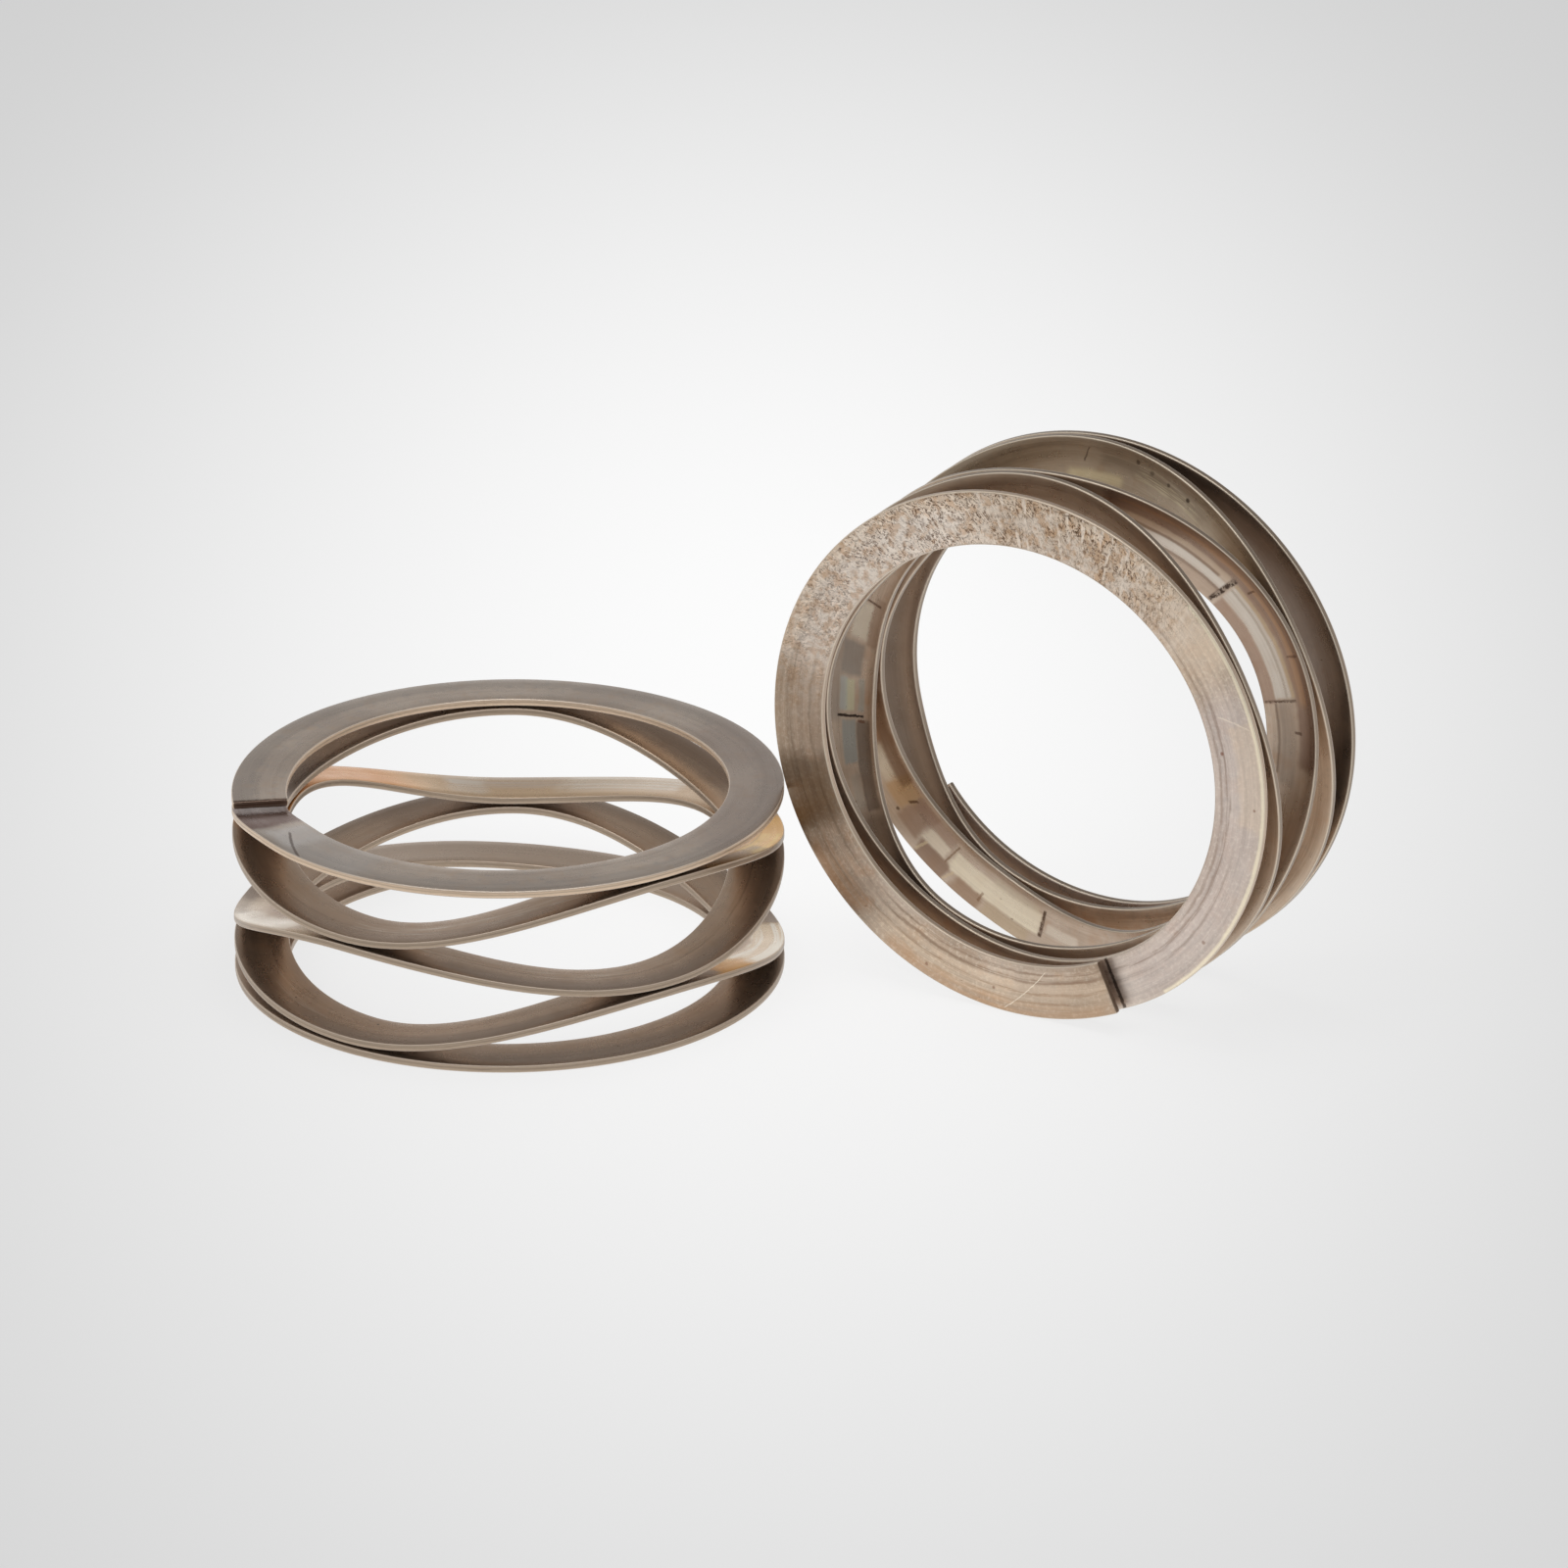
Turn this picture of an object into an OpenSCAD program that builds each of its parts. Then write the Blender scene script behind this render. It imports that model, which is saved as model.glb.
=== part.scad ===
// Pair of multi-turn wave springs of edge-wound flat wire, with a flat turn at each end.
// One stands on its end turn. The other stands on its rim beside it, like a wheel, and is
// turned over, so that its lower end faces the front.
// Origin at the centre of the upright spring's seat, +Z up, the front towards -Y.

/* [Flat wire] */
// Outer diameter of the coil
outer_d = 40; // [36:0.5:46]
// Width of the wire, from the bore to the rim
wire_w = 4; // [3:0.1:5]
// Thickness of the wire
wire_t = 0.55; // [0.4:0.05:0.65]

/* [Waves] */
// Waves in one turn, with a half wave over so that the crests meet the troughs above
waves = 2.5; // [1.5, 2.5]
// Rise of a wave from its trough to its crest
wave_h = 3.5; // [3:0.1:4.5]
// Turns of waves between the two flat turns
wave_turns = 3; // [1:2:5]
// Clear height between a crest and the trough that faces it
crest_gap = 0.2; // [0.1:0.05:0.3]
// Share of a turn's fall that the bends beside its step take
shoulder = 0.15; // [0.05:0.05:0.2]

/* [End turns] */
// Arc from the upper cut end to the bend that it laps over
top_lap = 26; // [15:1:28]
// Arc by which the lower cut end runs on under the last bend
seat_lap = 52; // [20:1:62]
// Arc over which the upper flat turn falls to its first bend
top_fall = 50; // [48:1:80]
// Arc over which the last bend falls to the seat
seat_fall = 100; // [95:1:130]
// Height by which the upper cut end is pressed down
tip_drop = 0.25; // [0:0.05:0.35]
// Arc over which the upper cut end is pressed down
tip_arc = 60; // [40:5:90]

/* [Places] */
// Bearing of the upright spring's upper cut end, from +X towards +Y
upright_turn = 188.5; // [0:0.5:359.5]
// Clear width between the two rims where they come closest
side_gap = 0.05; // [0.05:0.05:10]
// Distance by which the tipped spring's centre is behind the upright one's
beside_y = -3.6; // [-6:0.2:2]
// Bearing in which the tipped spring's lower end faces
tipped_bearing = 240; // [236:1:260]
// Arc from the ground to the tipped spring's lower cut end
tipped_turn = 24.5; // [0:0.5:359.5]

/* [Hidden] */
outer_r = outer_d / 2;
inner_r = outer_r - wire_w;
wave_a = wave_h / 2;
// height from wire to wire where two turns meet, and from one wave turn to the next
stack = wire_t + crest_gap;
pitch = wave_h + stack;
// middle heights of the wire in the seat and in the upper flat turn
seat_z = wire_t / 2;
top_z = seat_z + 2 * (wave_a + stack) + (wave_turns - 1) * pitch;
free_h = top_z + wire_t / 2;
// bends are the crests and troughs, counted down the wire from the upper end
bends = 2 * waves;
last_bend = bends * wave_turns;
bend_arc = 360 / bends;
first_arc = 360 + top_lap;
last_arc = first_arc + last_bend * bend_arc;
wire_arc = last_arc + 360 + seat_lap;
// point of the tipped spring's first rim that is nearest the upright spring's top, and from
// it the place to the right of the upright spring where the two rims just clear each other
near_chord = sqrt(pow(outer_r, 2) - pow(max(outer_r - free_h, 0), 2));
near_y = beside_y + free_h / 2 * sin(tipped_bearing) - near_chord * cos(tipped_bearing);
near_x = sqrt(pow(outer_r + side_gap, 2) - pow(near_y, 2));
beside_x = near_x - free_h / 2 * cos(tipped_bearing) - near_chord * sin(tipped_bearing);
// turn about its own axis that brings the turned over spring's lower cut end to its place
over_turn = tipped_turn - wire_arc;
// arc of one facet, and how far the untrimmed strip reaches past its two edges
facet_arc = 4;
trim = 1;
round_fn = 180;
spring_grey = "#8e857c";
spring_tan = "#a3917f";

// middle height of the wave turn that holds a bend, on its way down the staircase of turns
function turn_z(turn) = top_z - wave_a - stack - turn * pitch;
function level_z(k) =
    let (turn = floor(k / bends), place = k % bends)
    place == 0 ? (turn_z(turn - 1) + turn_z(turn)) / 2 :
    place == 1 && turn > 0 ? turn_z(turn) + shoulder * pitch :
    place == bends - 1 && turn < wave_turns - 1 ? turn_z(turn) - shoulder * pitch :
    turn_z(turn);

// height of a bend: even ones are troughs and odd ones are crests
function bend_z(k) =
    k == 0 ? top_z - wave_a - stack / 2 :
    k == last_bend ? seat_z + wave_a + stack / 2 :
    level_z(k) + (k % 2 == 0 ? -wave_a : wave_a);

// smooth fall from one height to another as u goes from 0 to 1
function ease(u) = (1 - cos(180 * min(max(u, 0), 1))) / 2;
function blend(z0, z1, u) = z0 + (z1 - z0) * ease(u);

// middle height of the wire after an arc from its upper cut end
function wire_z(arc) =
    arc < tip_arc ? blend(top_z - tip_drop, top_z, arc / tip_arc) :
    arc < first_arc ? blend(top_z, bend_z(0), 1 - (first_arc - arc) / top_fall) :
    arc < last_arc ?
        let (place = (arc - first_arc) / bend_arc, k = floor(place))
        blend(bend_z(k), bend_z(k + 1), place - k) :
    blend(bend_z(last_bend), seat_z, (arc - last_arc) / seat_fall);

// arcs at which the strip has a section, so that every bend falls on one
function section_arcs() =
    let (before = floor(first_arc / facet_arc), after = floor((wire_arc - first_arc) / facet_arc))
    concat([0], [for (k = [1 - before : after - 1]) first_arc + k * facet_arc], [wire_arc]);

// four corners of the strip's section, clockwise down the coil
function section(arc) =
    let (z = wire_z(arc), near = inner_r - trim, far = outer_r + trim)
    [for (corner = [[near, -1], [far, -1], [far, 1], [near, 1]])
        [corner[0] * cos(arc), -corner[0] * sin(arc), z + corner[1] * wire_t / 2]];

module waved_strip() {
    arcs = section_arcs();
    last = len(arcs) - 1;
    points = [for (arc = arcs) each section(arc)];
    sides = [for (k = [0 : last - 1], j = [0 : 3])
        let (a = 4 * k + j, b = 4 * k + (j + 1) % 4)
        each [[a, a + 4, b], [b, a + 4, b + 4]]];
    start = [0, 1, 2, 3];
    finish = [for (j = [3 : -1 : 0]) 4 * last + j];
    polyhedron(points, concat([start], sides, [finish]), convexity = 12);
}

// ring with the true bore and rim, which trims the strip's two edges
module edge_ring() {
    translate([0, 0, -trim])
        difference() {
            cylinder(h = free_h + 2 * trim, r = outer_r, $fn = round_fn);
            translate([0, 0, -trim])
                cylinder(h = free_h + 4 * trim, r = inner_r, $fn = round_fn);
        }
}

module wave_spring() {
    intersection() {
        waved_strip();
        edge_ring();
    }
}

module upright_spring() {
    color(spring_grey)
        rotate([0, 0, upright_turn])
            wave_spring();
}

module tipped_spring() {
    color(spring_tan)
        translate([beside_x, beside_y, outer_r])
            rotate([0, 0, tipped_bearing])
                rotate([0, 90, 0])
                    rotate([180, 0, over_turn])
                        translate([0, 0, -free_h / 2])
                            wave_spring();
}

upright_spring();
tipped_spring();
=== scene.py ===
import bpy
import bmesh
import math
from types import SimpleNamespace
from mathutils import Matrix, Vector


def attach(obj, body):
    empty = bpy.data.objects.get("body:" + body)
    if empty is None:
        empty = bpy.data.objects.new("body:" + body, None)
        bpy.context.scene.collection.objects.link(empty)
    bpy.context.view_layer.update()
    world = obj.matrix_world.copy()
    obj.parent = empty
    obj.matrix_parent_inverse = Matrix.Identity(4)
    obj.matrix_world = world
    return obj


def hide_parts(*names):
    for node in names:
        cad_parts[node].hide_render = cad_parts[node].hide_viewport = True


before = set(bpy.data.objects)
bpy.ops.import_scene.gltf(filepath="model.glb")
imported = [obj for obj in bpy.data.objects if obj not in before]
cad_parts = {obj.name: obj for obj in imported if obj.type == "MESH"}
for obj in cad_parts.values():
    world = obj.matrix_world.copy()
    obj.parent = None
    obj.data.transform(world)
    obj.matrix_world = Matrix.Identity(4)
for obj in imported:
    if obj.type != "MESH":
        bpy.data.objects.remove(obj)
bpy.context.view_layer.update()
print("frame loaded:", ", ".join(sorted(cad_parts)))

# the flat wire and its coil in millimetres and degrees of arc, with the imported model's own sizes
wire = {
    "outerRadius": 20.0,
    "width": 4.0,
    "thickness": 0.55,
    "corner": 0.12,       # rounding of the wire's four long edges
    "waves": 2.5,         # in one turn
    "waveHeight": 3.5,
    "waveTurns": 3,       # between the two flat turns
    "crestGap": 0.2,      # between a crest and the trough that faces it
    "shoulder": 0.15,     # share of a turn's fall that the bends beside its step take
    "topLap": 26,         # arc from the upper cut end to the bend that it laps over
    "seatLap": 52,        # arc by which the lower cut end runs on under the last bend
    "topFall": 50,        # arc over which the upper flat turn falls to its first bend
    "seatFall": 100,      # arc over which the last bend falls to the seat
    "tipDrop": 0.25,      # how far the upper cut end is pressed down
    "tipArc": 60,         # arc over which it is
    "step": 1.5,          # arc between two sections of the mesh
    "cornerSteps": 3,     # facets in a rounded corner
    "faceCuts": (0.2, 0.4, 0.6, 0.8),     # where the wide faces are divided
    "endBevel": 0.05,     # how much the first and last section are drawn in
    "endRun": 0.18,       # arc over which they are
    "cutMark": 5,         # arc past the wire's end that its cut face is noted at, for the finish
}
millimetre = 0.001
degreeLength = 0.314      # millimetres of wire in a degree, halfway across

halfWave = wire["waveHeight"] / 2
stack = wire["thickness"] + wire["crestGap"]
pitch = wire["waveHeight"] + stack
seatZ = wire["thickness"] / 2
topZ = seatZ + 2 * (halfWave + stack) + (wire["waveTurns"] - 1) * pitch
freeHeight = topZ + wire["thickness"] / 2
bends = int(2 * wire["waves"])
lastBend = bends * wire["waveTurns"]
bendArc = 360 / bends
firstArc = 360 + wire["topLap"]
lastArc = firstArc + lastBend * bendArc
wireArc = lastArc + 360 + wire["seatLap"]
boreRadius = wire["outerRadius"] - wire["width"]


def turnHeight(turn):
    return topZ - halfWave - stack - turn * pitch


def levelHeight(k):
    # middle height of the wave turn that bend k belongs to
    turn, place = divmod(k, bends)
    if place == 0:
        return (turnHeight(turn - 1) + turnHeight(turn)) / 2
    if place == 1 and turn > 0:
        return turnHeight(turn) + wire["shoulder"] * pitch
    if place == bends - 1 and turn < wire["waveTurns"] - 1:
        return turnHeight(turn) - wire["shoulder"] * pitch
    return turnHeight(turn)


def bendHeight(k):
    if k == 0:
        return topZ - halfWave - stack / 2
    if k == lastBend:
        return seatZ + halfWave + stack / 2
    return levelHeight(k) + (halfWave if k % 2 else -halfWave)


def easeBetween(low, high, share):
    share = min(max(share, 0), 1)
    return low + (high - low) * (1 - math.cos(math.pi * share)) / 2


def wireHeight(arc):
    # middle height of the wire after an arc from its upper cut end
    if arc < wire["tipArc"]:
        return easeBetween(topZ - wire["tipDrop"], topZ, arc / wire["tipArc"])
    if arc < firstArc:
        return easeBetween(topZ, bendHeight(0), 1 - (firstArc - arc) / wire["topFall"])
    if arc < lastArc:
        k, share = divmod((arc - firstArc) / bendArc, 1)
        return easeBetween(bendHeight(int(k)), bendHeight(int(k) + 1), share)
    return easeBetween(bendHeight(lastBend), seatZ, (arc - lastArc) / wire["seatFall"])


def wireSection(inset):
    # points round the rounded section: distance from the bore, lift, and how much each faces up or down
    half, corner, width = wire["thickness"] / 2, wire["corner"], wire["width"]
    points = []
    for middle, height, start in (
        (width - corner, -half + corner, -90),
        (width - corner, half - corner, 0),
        (corner, half - corner, 90),
        (corner, -half + corner, 180),
    ):
        for step in range(wire["cornerSteps"] + 1):
            turn = math.radians(start + step * 90 / wire["cornerSteps"])
            out, up = math.cos(turn), math.sin(turn)
            points.append((middle + corner * out, height + corner * up, up))
        if start in (0, 180):      # spans over the wide face that follows
            side = 1 if start == 0 else -1
            for share in wire["faceCuts"]:
                share = 1 - share if start == 0 else share
                points.append((corner + (width - 2 * corner) * share, side * half, side))
    return [(across + (width / 2 - across) * inset / width * 2, lift * (1 - inset / half), side)
            for across, lift, side in points]


def linked(name, data):
    thing = bpy.data.objects.new(name, data)
    bpy.context.scene.collection.objects.link(thing)
    return thing


def meshObject(name, mesh):
    data = bpy.data.meshes.new(name)
    mesh.to_mesh(data)
    mesh.free()
    return linked(name, data)


def coilMesh(name, place, turnedOver):
    # one closed strip; wirePos keeps each point's arc, distance from the bore and facing for the finish,
    # counted from the cut end that faces up or to the front
    mesh = bmesh.new()
    wirePos = mesh.verts.layers.float_vector.new("wirePos")
    wireLift = mesh.verts.layers.float.new("wireLift")
    count = math.ceil(wireArc / wire["step"])
    arcs = [wireArc * k / count for k in range(count + 1)]
    arcs[0], arcs[-1] = wire["endRun"], wireArc - wire["endRun"]
    rings = [(0, wire["endBevel"])] + [(arc, 0) for arc in arcs] + [(wireArc, wire["endBevel"])]

    def ringVerts(arc, inset, arcNote):
        turn, made = math.radians(arc), []
        for across, lift, side in wireSection(inset):
            radius = boreRadius + across
            spot = Vector((radius * math.cos(turn), -radius * math.sin(turn), wireHeight(arc) + lift))
            vert = mesh.verts.new(place @ (spot * millimetre))
            vert[wirePos] = (wireArc - arcNote, across, -side) if turnedOver else (arcNote, across, side)
            vert[wireLift] = lift
            made.append(vert)
        return made

    strip = [ringVerts(arc, inset, arc) for arc, inset in rings]
    for here, there in zip(strip, strip[1:]):
        for k in range(len(here)):
            after = (k + 1) % len(here)
            mesh.faces.new((here[k], here[after], there[after], there[k]))
    for arc, note in ((0, -wire["cutMark"]), (wireArc, wireArc + wire["cutMark"])):
        mesh.faces.new(ringVerts(arc, wire["endBevel"], note))
    bmesh.ops.recalc_face_normals(mesh, faces=[face for face in mesh.faces if len(face.verts) == 4])
    for face in mesh.faces:
        face.smooth = len(face.verts) == 4
    spring = meshObject(name, mesh)
    weighted = spring.modifiers.new("evenShading", "WEIGHTED_NORMAL")
    weighted.keep_sharp = True
    return spring


def paint(code):
    # a written colour such as b9a794 as linear light
    parts = [int(code[k:k + 2], 16) / 255 for k in (0, 2, 4)]
    return [part / 12.92 if part <= 0.04045 else ((part + 0.055) / 1.055) ** 2.4 for part in parts] + [1.0]


class Shade:
    # wraps an output of a node, so that a finish reads as plain sums
    def __init__(self, tree, socket=None):
        self.tree = tree
        self.socket = socket

    def node(self, kind, settings=None, inputs=None, output=0):
        made = self.tree.nodes.new(kind)
        for name, value in (settings or {}).items():
            setattr(made, name, value)
        for name, value in (inputs or {}).items():
            if isinstance(value, Shade):
                self.tree.links.new(value.socket, made.inputs[name])
            elif value is not None:
                made.inputs[name].default_value = value
        return Shade(self.tree, made.outputs[output] if len(made.outputs) else None)

    def part(self, axis):
        return self.node("ShaderNodeSeparateXYZ", None, {0: self}, axis)

    def maths(self, operation, first, second=None, clamp=False):
        settings = {"operation": operation, "use_clamp": clamp}
        return self.node("ShaderNodeMath", settings, {0: first, 1: second})

    def __add__(self, other):
        return self.maths("ADD", self, other)

    def __radd__(self, other):
        return self.maths("ADD", other, self)

    def __sub__(self, other):
        return self.maths("SUBTRACT", self, other)

    def __rsub__(self, other):
        return self.maths("SUBTRACT", other, self)

    def __mul__(self, other):
        return self.maths("MULTIPLY", self, other)

    def __rmul__(self, other):
        return self.maths("MULTIPLY", other, self)

    def __truediv__(self, other):
        return self.maths("DIVIDE", self, other)

    def __rtruediv__(self, other):
        return self.maths("DIVIDE", other, self)

    def __abs__(self):
        return self.maths("ABSOLUTE", self)

    def root(self):
        return self.maths("SQRT", self)

    def between(self, low, high):
        # 0 below low, 1 above high, and smooth between them; the other way round if low is above high
        return self.node("ShaderNodeMapRange", {"interpolation_type": "SMOOTHSTEP", "clamp": False},
                         {"Value": self, "From Min": low, "From Max": high})

    def span(self, low, high):
        # low where this value is 0 and high where it is 1
        return self * (high - low) + low

    def mix(self, under, over):
        # this value as the share of the second colour
        return self.node("ShaderNodeMix", {"data_type": "RGBA"}, {0: self, 6: under, 7: over}, 2)

    def tint(self, under, code):
        # this value as the share of a written colour
        return self.mix(under, paint(code))

    def times(self, colour):
        # the colour made lighter or darker by this value
        return self.node("ShaderNodeVectorMath", {"operation": "SCALE"}, {0: colour, "Scale": self})


def emptyTree(owner):
    # the emptied node tree of a new material or world
    owner.use_nodes = True
    owner.node_tree.nodes.clear()
    return Shade(owner.node_tree)


def wearAndPaintedLight(arc, across, tint, share, soft=0.3, ragged=0.9, streaky=0.0):
    # a stained or rubbed place, also used for patches of painted shade, highlight and reflection; soft and
    # ragged are in millimetres, share and streaky run from 0 to 1
    return {"arc": arc, "across": across, "tint": tint, "share": share,
            "soft": soft, "ragged": ragged, "streaky": streaky}


# the finishes; tones are written as they look in plain light, places in degrees of arc and
# millimetres across from the bore; of two values, the first is for the flat end turn towards the
# viewer, which is the most worn, and the second for the turns behind it
greyCoil = {
    "seed": 3.0,                      # where on the noises it begins
    "tones": ("b2a294", "c3b3a4"),
    "warm": "b3977c",                 # clouds over the two tones
    "cool": "a09b97",
    "rimTint": "8f8780",              # on the faces, towards the rim
    "edge": "d8c0a6",                 # the wire's narrow sides
    "corner": "e2d2c0",               # its corners, rubbed and lit by a painted highlight, and fine light lines
    "innerEdge": 0.55,                # how light the narrow sides of the turns behind are
    "cutEnd": "5f4b3f",               # the cut faces, and fine dark lines
    "spots": "4a392c",
    "roughness": (0.29, 0.29),
    "grainy": (0.4, 0.35),            # how strongly the tone varies
    "brushed": (0.07, 0.16),          # how much the fine lines show
    "relief": 0.06,
    "mottled": 0.0,                   # how much light mottling the end turn has
    "pitted": 0.12,                   # how dark the pits are
    "metal": 0.8,
    "speckled": None,
    "strokes": None,
    "grooves": (
        {"arc": (470, 700), "across": 2.3, "width": 0.08, "share": 0.3, "tint": "6f5a49"},
        {"arc": (900, 1060), "across": 1.7, "width": 0.09, "share": 0.35, "tint": "6f5a49"},
        {"arc": (1330, 1420), "across": 2.6, "width": 0.08, "share": 0.3, "tint": "6f5a49"},
    ),
    # stains and rubbed places; some are painted shade and highlights, as noted
    "stainsAndPaintedLight": (
        wearAndPaintedLight((400, 1890), (-0.4, 4.4), "c39e7b", 0.55, soft=2.0),
        wearAndPaintedLight((400, 735), (2.4, 4.8), "86705f", 0.35, soft=0.7),
        wearAndPaintedLight((900, 1030), (2.2, 4.8), "86705f", 0.4, soft=0.7),
        wearAndPaintedLight((1340, 1440), (2.4, 4.8), "86705f", 0.3, soft=0.7),
        wearAndPaintedLight((900, 1480), (2.7, 4.8), "6c5f55", 0.3, soft=0.8),
        wearAndPaintedLight((1146, 1196), (-0.4, 4.8), "7c614c", 0.45, soft=1.6),
        wearAndPaintedLight((1600, 1745), (1.8, 4.8), "6c5f55", 0.5, soft=1.0),
        wearAndPaintedLight((400, 520), (1.2, 4.8), "7c614c", 0.45, soft=0.9),
        wearAndPaintedLight((484, 530), (-0.4, 1.1), "ecc9a6", 0.6, soft=0.5),
        # painted shadow of the upper cut end's step, on the wire that falls away under it
        wearAndPaintedLight((344, 370), (-0.4, 4.4), "5c301a", 0.9, soft=0.4, ragged=0.5),
        wearAndPaintedLight((370, 400), (-0.4, 4.4), "6b5040", 0.5, soft=2.0),
        # rubbed place before the cut end, lightened partly as a painted highlight
        wearAndPaintedLight((330, 341), (0.3, 3.4), "dad4cf", 0.65, soft=0.5, ragged=0.6),
        wearAndPaintedLight((310, 332), (-0.4, 4.4), "bcb6b1", 0.4, soft=0.8),
        wearAndPaintedLight((538, 592), (1.8, 4.6), "e2a636", 0.95, soft=0.5),
        # painted contact shade under the rim of the turn above
        wearAndPaintedLight((567, 604), (2.6, 4.8), "6f5740", 0.7, soft=0.4),
        wearAndPaintedLight((552, 574), (2.3, 4.2), "f2cf74", 0.6, streaky=0.8),
        wearAndPaintedLight((1258, 1306), (1.6, 4.6), "d6a558", 0.9, soft=0.5),
        # rubbed place on a crest, partly a painted highlight
        wearAndPaintedLight((1258, 1296), (1.6, 4.2), "fff8ea", 0.85, streaky=0.5),
        wearAndPaintedLight((1294, 1308), (2.4, 4.4), "d2973f", 0.8, soft=0.4),
        wearAndPaintedLight((730, 796), (-0.4, 4.4), "d9923a", 0.95, soft=1.0),
        wearAndPaintedLight((790, 900), (-0.4, 4.4), "e3c094", 0.7, soft=1.4),
        # rubbed places on the crests, partly painted highlight
        wearAndPaintedLight((803, 812), (0.6, 3.8), "ebe4da", 0.65, soft=0.5, streaky=0.5),
        wearAndPaintedLight((812, 830), (1.9, 4.4), "d8ccc2", 0.55, soft=0.6, streaky=0.6),
        wearAndPaintedLight((830, 862), (1.2, 4.4), "f4ece0", 0.7, soft=0.7, streaky=0.5),
        wearAndPaintedLight((1040, 1098), (1.6, 4.4), "dac5ab", 0.8, soft=0.7),
        wearAndPaintedLight((1052, 1086), (1.9, 4.2), "f7ecdc", 0.85, soft=0.5, streaky=0.35),
        wearAndPaintedLight((1084, 1104), (2.9, 4.8), "8d7866", 0.5, soft=0.5),
        wearAndPaintedLight((150, 228), (-0.4, 4.8), "9c8a80", 0.4, soft=1.4),
        wearAndPaintedLight((1500, 1600), (-0.4, 4.4), "cdbba9", 0.4, soft=1.5),
    ),
    "streaks": (
        wearAndPaintedLight((605, 675), (0.9, 2.6), "ddd2c4", 0.6),
        wearAndPaintedLight((955, 1035), (0.7, 2.4), "d8cdbf", 0.5),
        wearAndPaintedLight((1400, 1432), (1.2, 2.8), "cdbfb0", 0.4),
    ),
    # scratches and fine lines; the one at the cut end is partly painted shadow
    "scoresAndPaintedLines": (
        {"arc": (326, 338), "across": (3.9, 1.9), "width": 0.3, "tint": "5f4e44", "share": 0.75},
        # dark line at the upper cut end: its cut face, with painted shadow of the step
        {"arc": (0.2, 0.3), "across": (-0.1, 4.1), "width": 0.22, "tint": "4c3a30", "share": 0.95},
        {"arc": (560, 580), "across": (2.6, 3.6), "width": 0.07, "tint": "9a7a3c", "share": 0.6},
        {"arc": (1268, 1296), "across": (3.2, 2.6), "width": 0.1, "tint": "8f7c66", "share": 0.75},
        {"arc": (1262, 1284), "across": (2.4, 2.9), "width": 0.07, "tint": "8f7c66", "share": 0.6},
        {"arc": (806, 828), "across": (1.7, 2.6), "width": 0.1, "tint": "7d6554", "share": 0.5},
    ),
    "dots": (
        {"arc": 1391, "across": 1.0, "radius": 0.11, "tint": "33261e", "share": 0.9},
        {"arc": 1415, "across": 2.2, "radius": 0.10, "tint": "33261e", "share": 0.9},
    ),
}
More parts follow.
